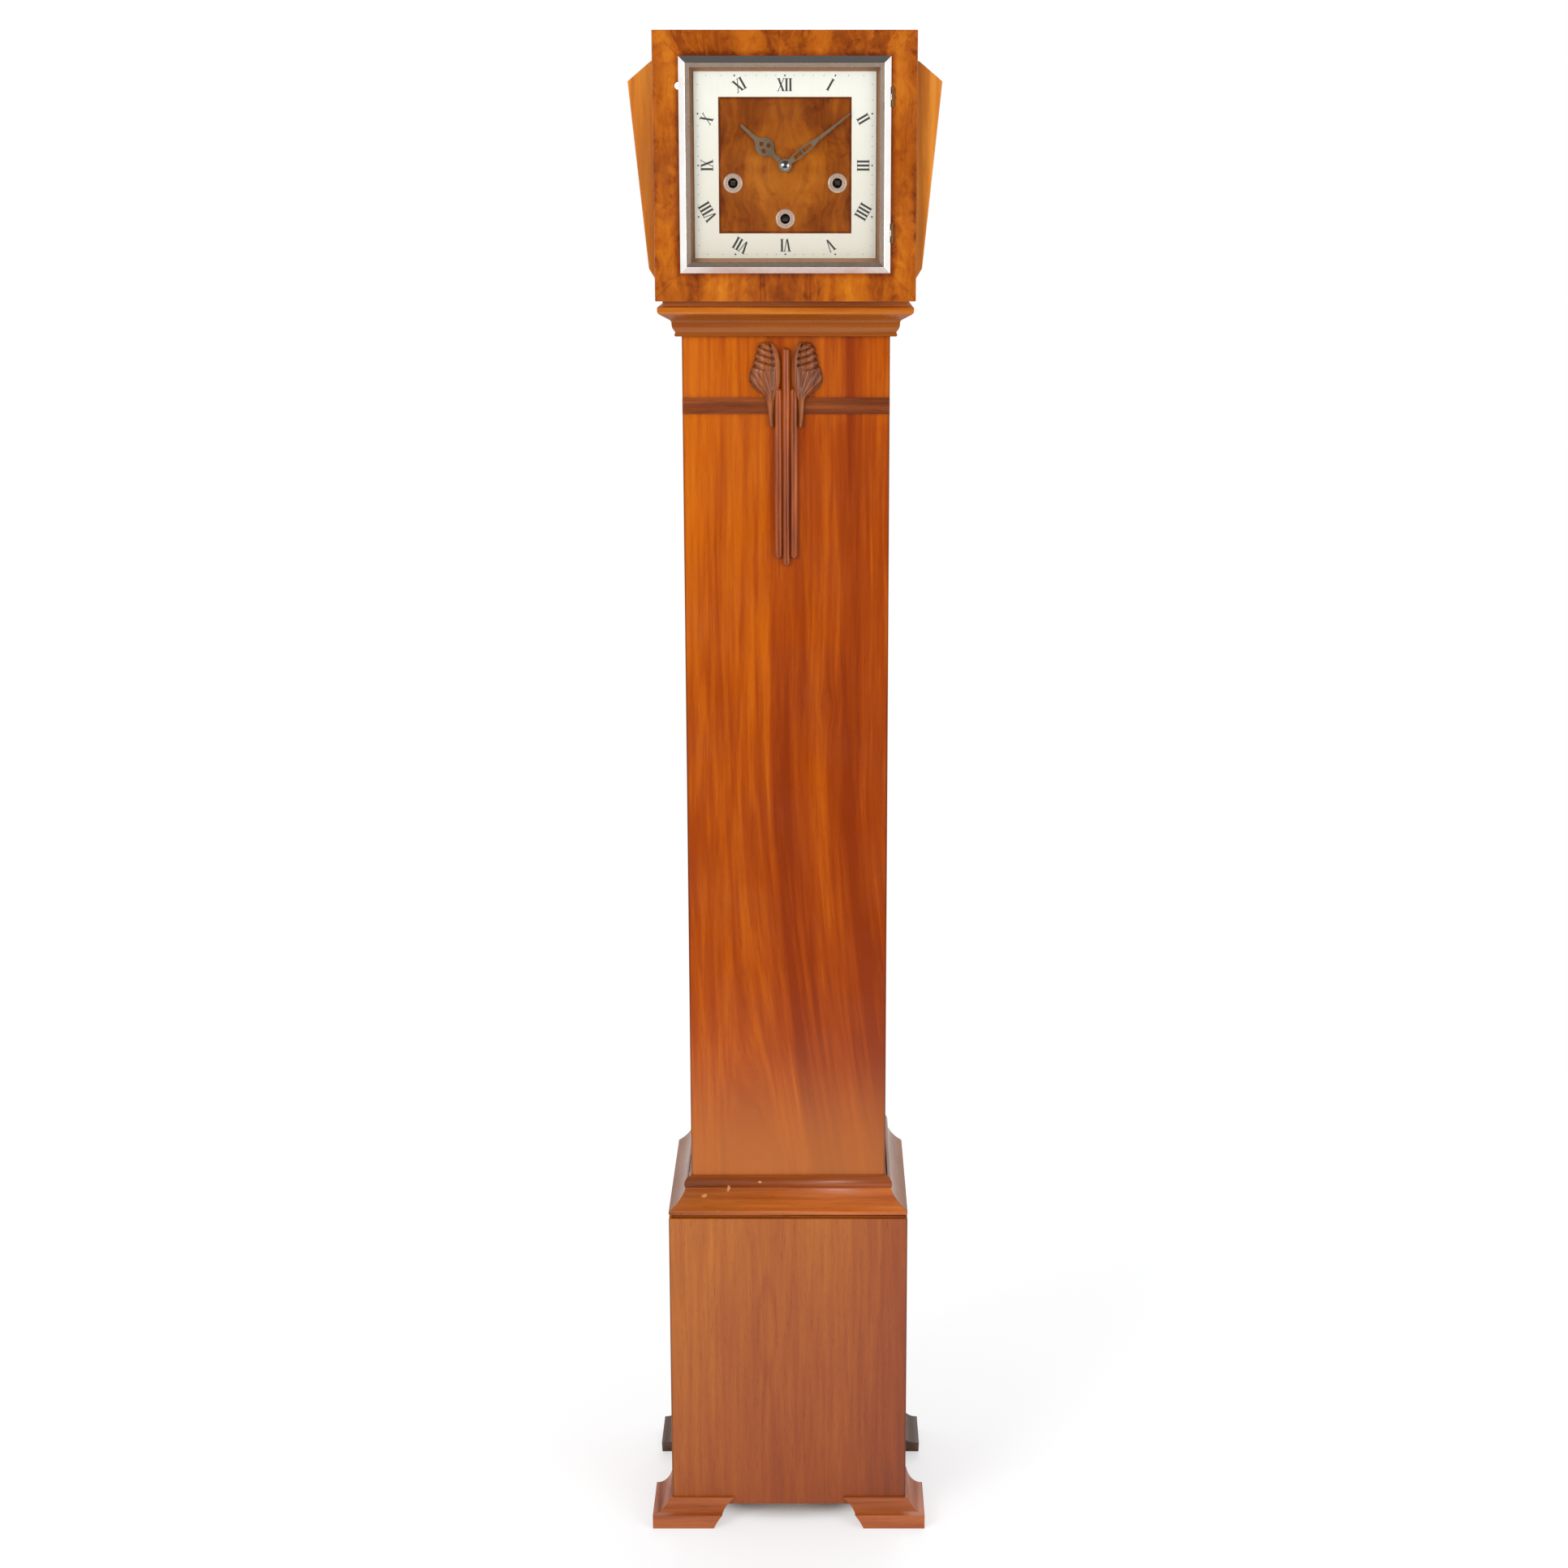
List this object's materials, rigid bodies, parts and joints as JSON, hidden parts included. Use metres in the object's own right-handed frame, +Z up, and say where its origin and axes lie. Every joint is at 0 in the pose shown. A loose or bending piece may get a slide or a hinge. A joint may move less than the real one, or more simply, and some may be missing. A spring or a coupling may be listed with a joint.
{
  "type": "grandmother clock",
  "caption": "Slim floor-standing walnut clock with a square dial behind a hinged bezel, flared wings, stepped plinth, bracket feet and a chiming pendulum movement",
  "frame": {"origin": "on the floor, under the middle of the clock's bounding box", "axes": "+Z up, the dial faces -Y, +X to the right seen from the front"},
  "size_m": [0.294, 0.227, 1.5153],
  "materials": {
    "walnut_burr": "satin burr veneer",
    "walnut_trunk": "satin straight-grained veneer",
    "walnut_plinth": "duller red-brown veneer",
    "walnut_dial": "quartered veneer",
    "dark_wood": "stained and polished",
    "carcase_wood": "bare inside surfaces",
    "chrome": "polished",
    "glass": "clear",
    "silvered": "silvered matt",
    "hand_steel": "polished",
    "brass": "lacquered",
    "steel": "bright",
    "cast_iron": "painted black"
  },
  "bodies": {
    "case": {"head_front": "walnut_burr", "head_side_left": "walnut_burr", "head_side_right": "walnut_burr", "head_top": "walnut_burr", "head_wings": "walnut_burr", "cornice_moulding": "walnut_burr", "trunk_front": "walnut_trunk", "trunk_side_left": "walnut_trunk", "trunk_side_right": "walnut_trunk", "plinth_front": "walnut_plinth", "plinth_side_left": "walnut_plinth", "plinth_side_right": "walnut_plinth", "shoulder_moulding": "walnut_plinth", "foot_front_left": "walnut_plinth", "foot_front_right": "walnut_plinth", "rear_feet": "walnut_plinth", "dial_centre_panel": "walnut_dial", "trunk_band": "dark_wood", "carved_leaves": "dark_wood", "ornament_reeds": "dark_wood", "reveal_fillet": "dark_wood", "trunk_back": "carcase_wood", "plinth_back": "carcase_wood", "base_board": "carcase_wood", "seat_board": "carcase_wood", "bezel_hinges": "chrome", "chapter_ring": "silvered", "winding_collets": "silvered", "dial_plate": "brass", "movement_front_plate": "brass", "movement_back_plate": "brass", "movement_pillars": "brass", "back_door_pivots": "steel", "chime_rods": "steel", "gong_block": "cast_iron"},
    "bezel_door": {"bezel_frame": "chrome", "bezel_glass": "glass", "bezel_tab": "chrome"},
    "back_door": {"back_door": "carcase_wood", "back_door_knob": "brass"},
    "minute_arbor": {"minute_hand": "hand_steel", "hand_nut": "chrome", "centre_wheel": "brass"},
    "hour_pipe": {"hour_hand": "hand_steel", "hour_wheel": "brass"},
    "minute_wheel": {"minute_wheel": "brass"},
    "going_barrel": {"going_barrel": "brass"},
    "third_wheel": {"third_wheel": "brass"},
    "escape_wheel": {"escape_wheel": "brass"},
    "pallet_anchor": {"pallet_anchor": "steel"},
    "pendulum": {"suspension_spring": "steel", "pendulum_rod": "steel", "pendulum_bob": "brass"},
    "rating_nut": {"rating_nut": "brass"},
    "strike_barrel": {"strike_barrel": "brass"},
    "chime_barrel": {"chime_barrel": "brass"},
    "strike_arbor": {"strike_winding_arbor": "steel"},
    "going_arbor": {"going_winding_arbor": "steel"},
    "chime_arbor": {"chime_winding_arbor": "steel"},
    "hammers": {"chime_hammers": "steel"}
  },
  "joints": [
    {"name": "bezel_hinge", "type": "hinge", "parent": "case", "child": "bezel_door", "pos_m": [0.1005, -0.1, 1.393], "axis": [0, 0, 1], "range_deg": [0, 105]},
    {"name": "back_door_hinge", "type": "hinge", "parent": "case", "child": "back_door", "pos_m": [-0.1014, 0.0975, 1.393], "axis": [0, 0, 1], "range_deg": [0, 100]},
    {"name": "minute_hand_turn", "type": "hinge", "parent": "case", "child": "minute_arbor", "pos_m": [0, 0, 1.393], "axis": [0, 1, 0], "continuous": true},
    {"name": "hour_hand_turn", "type": "hinge", "parent": "case", "child": "hour_pipe", "pos_m": [0, 0, 1.393], "axis": [0, 1, 0], "continuous": true},
    {"name": "minute_wheel_turn", "type": "hinge", "parent": "case", "child": "minute_wheel", "pos_m": [-0.0144, 0, 1.4038], "axis": [0, 1, 0], "continuous": true},
    {"name": "going_barrel_turn", "type": "hinge", "parent": "case", "child": "going_barrel", "pos_m": [0, 0, 1.3442], "axis": [0, 1, 0], "continuous": true},
    {"name": "third_wheel_turn", "type": "hinge", "parent": "case", "child": "third_wheel", "pos_m": [0.018, 0, 1.4242], "axis": [0, 1, 0], "continuous": true},
    {"name": "escape_wheel_turn", "type": "hinge", "parent": "case", "child": "escape_wheel", "pos_m": [0, 0, 1.4442], "axis": [0, 1, 0], "continuous": true},
    {"name": "pendulum_swing", "type": "hinge", "parent": "case", "child": "pendulum", "pos_m": [0, -0.0129, 1.4662], "axis": [0, 1, 0], "range_deg": [-4, 4]},
    {"name": "pallet_rock", "type": "hinge", "parent": "case", "child": "pallet_anchor", "pos_m": [0, -0.04, 1.4662], "axis": [0, 1, 0], "range_deg": [-4, 4]},
    {"name": "rating_nut_turn", "type": "hinge", "parent": "pendulum", "child": "rating_nut", "pos_m": [0, -0.0129, 1.1752], "axis": [0, 0, 1], "continuous": true},
    {"name": "strike_barrel_turn", "type": "hinge", "parent": "case", "child": "strike_barrel", "pos_m": [-0.049, 0, 1.3769], "axis": [0, 1, 0], "continuous": true},
    {"name": "chime_barrel_turn", "type": "hinge", "parent": "case", "child": "chime_barrel", "pos_m": [0.049, 0, 1.3769], "axis": [0, 1, 0], "continuous": true},
    {"name": "strike_winding", "type": "hinge", "parent": "case", "child": "strike_arbor", "pos_m": [-0.049, 0, 1.3769], "axis": [0, 1, 0], "continuous": true},
    {"name": "going_winding", "type": "hinge", "parent": "case", "child": "going_arbor", "pos_m": [0, 0, 1.3442], "axis": [0, 1, 0], "continuous": true},
    {"name": "chime_winding", "type": "hinge", "parent": "case", "child": "chime_arbor", "pos_m": [0.049, 0, 1.3769], "axis": [0, 1, 0], "continuous": true},
    {"name": "hammer_lift", "type": "hinge", "parent": "case", "child": "hammers", "pos_m": [0, 0.0001, 1.311], "axis": [-1, 0, 0], "range_deg": [0, 10], "stiffness_Nm_per_rad": 0.2, "springref_deg": -8.59}
  ],
  "couplings": [
    {"joint": "hour_hand_turn", "follows": "minute_hand_turn", "ratio": 0.083333},
    {"joint": "minute_wheel_turn", "follows": "minute_hand_turn", "ratio": -0.33333},
    {"joint": "going_barrel_turn", "follows": "minute_hand_turn", "ratio": -0.14286},
    {"joint": "third_wheel_turn", "follows": "minute_hand_turn", "ratio": -9},
    {"joint": "escape_wheel_turn", "follows": "minute_hand_turn", "ratio": 90},
    {"joint": "pallet_rock", "follows": "pendulum_swing", "ratio": 1}
  ]
}
